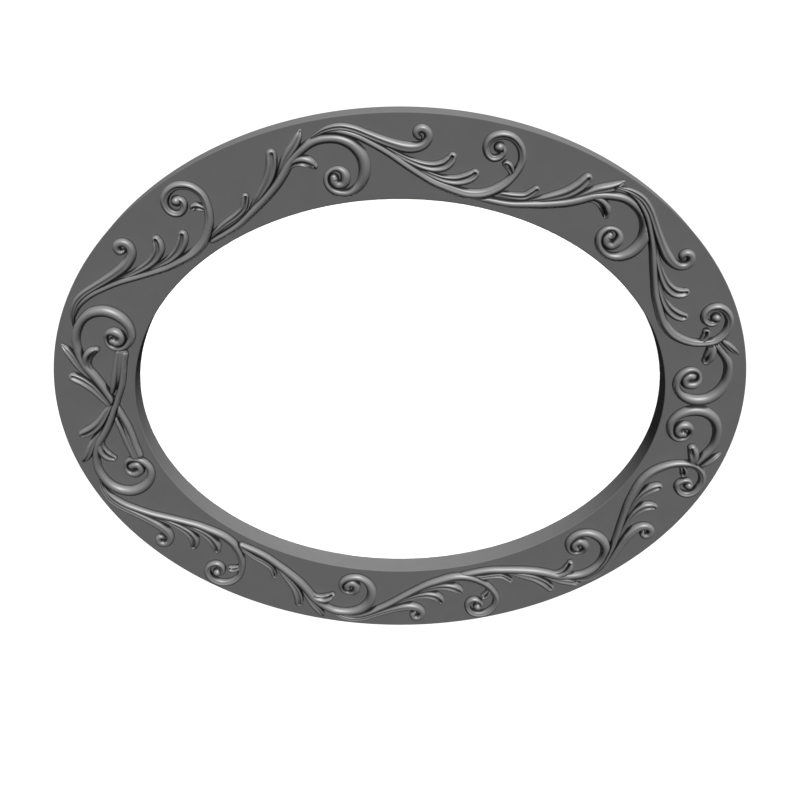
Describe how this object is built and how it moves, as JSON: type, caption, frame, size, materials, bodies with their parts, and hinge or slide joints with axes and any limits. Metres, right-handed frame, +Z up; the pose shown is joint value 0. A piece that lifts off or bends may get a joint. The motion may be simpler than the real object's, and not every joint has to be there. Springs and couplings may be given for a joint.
{
  "type": "oval picture frame",
  "caption": "Oval wall frame with scrollwork castings on a flat grey face, glazed over a bare white card, with turn buttons and strap hangers on its back.",
  "frame": {"origin": "centre of the oval on the wall, in the plane of the bumpers' rear faces", "axes": "+X along the oval's long width, +Y into the wall, +Z up; the face looks along -Y"},
  "size_m": [0.646, 0.0483, 0.539],
  "materials": {
    "grey_face": "satin charcoal grey paint on board",
    "grey_casting": "cast resin under the same satin grey paint",
    "bare_wood": "sanded bare plywood",
    "clear_glass": "polished picture glass",
    "white_card": "smooth white card, nothing printed",
    "foam_board": "white foam board",
    "hardboard": "brown hardboard",
    "screw_steel": "bright zinc plate",
    "plated_steel": "zinc plate",
    "bumper_rubber": "matt black rubber"
  },
  "bodies": {
    "frame": {"face_ring": "grey_face", "rebate_ring": "bare_wood", "glass_pane": "clear_glass", "picture_card": "white_card", "filler_board": "foam_board", "backing_board": "hardboard", "upper_scroll_1": "grey_casting", "upper_scroll_2": "grey_casting", "upper_scroll_3": "grey_casting", "upper_scroll_4": "grey_casting", "upper_frond_1": "grey_casting", "upper_frond_2": "grey_casting", "upper_frond_3": "grey_casting", "lower_scroll_1": "grey_casting", "lower_scroll_2": "grey_casting", "lower_scroll_3": "grey_casting", "lower_scroll_4": "grey_casting", "lower_frond_1": "grey_casting", "lower_frond_2": "grey_casting", "lower_frond_3": "grey_casting", "frame_screws": "screw_steel", "button_screws": "screw_steel", "hanger_screws": "screw_steel", "hanger_strap_left": "plated_steel", "hanger_strap_right": "plated_steel", "wall_bumpers": "bumper_rubber"},
    "turn_button_1": {"turn_button_1": "plated_steel"},
    "turn_button_2": {"turn_button_2": "plated_steel"},
    "turn_button_3": {"turn_button_3": "plated_steel"},
    "turn_button_4": {"turn_button_4": "plated_steel"},
    "turn_button_5": {"turn_button_5": "plated_steel"},
    "turn_button_6": {"turn_button_6": "plated_steel"},
    "turn_button_7": {"turn_button_7": "plated_steel"},
    "turn_button_8": {"turn_button_8": "plated_steel"},
    "hanger_ring_left": {"hanger_ring_left": "plated_steel"},
    "hanger_ring_right": {"hanger_ring_right": "plated_steel"}
  },
  "joints": [
    {"name": "turn_button_1_swivel", "type": "hinge", "parent": "frame", "child": "turn_button_1", "pos_m": [0.2645, -0.007, 0], "axis": [0, 1, 0], "continuous": true},
    {"name": "turn_button_2_swivel", "type": "hinge", "parent": "frame", "child": "turn_button_2", "pos_m": [0.18629, -0.007, 0.15163], "axis": [0, 1, 0], "continuous": true},
    {"name": "turn_button_3_swivel", "type": "hinge", "parent": "frame", "child": "turn_button_3", "pos_m": [0, -0.007, 0.2135], "axis": [0, 1, 0], "continuous": true},
    {"name": "turn_button_4_swivel", "type": "hinge", "parent": "frame", "child": "turn_button_4", "pos_m": [-0.18629, -0.007, 0.15163], "axis": [0, 1, 0], "continuous": true},
    {"name": "turn_button_5_swivel", "type": "hinge", "parent": "frame", "child": "turn_button_5", "pos_m": [-0.2645, -0.007, 0], "axis": [0, 1, 0], "continuous": true},
    {"name": "turn_button_6_swivel", "type": "hinge", "parent": "frame", "child": "turn_button_6", "pos_m": [-0.18629, -0.007, -0.15163], "axis": [0, 1, 0], "continuous": true},
    {"name": "turn_button_7_swivel", "type": "hinge", "parent": "frame", "child": "turn_button_7", "pos_m": [0, -0.007, -0.2135], "axis": [0, 1, 0], "continuous": true},
    {"name": "turn_button_8_swivel", "type": "hinge", "parent": "frame", "child": "turn_button_8", "pos_m": [0.18629, -0.007, -0.15163], "axis": [0, 1, 0], "continuous": true},
    {"name": "hanger_ring_left_swing", "type": "hinge", "parent": "frame", "child": "hanger_ring_left", "pos_m": [-0.25876, -0.00422, 0.11496], "axis": [-1, 0, 0], "range_deg": [0, 160]},
    {"name": "hanger_ring_right_swing", "type": "hinge", "parent": "frame", "child": "hanger_ring_right", "pos_m": [0.25876, -0.00422, 0.11496], "axis": [-1, 0, 0], "range_deg": [0, 160]}
  ]
}
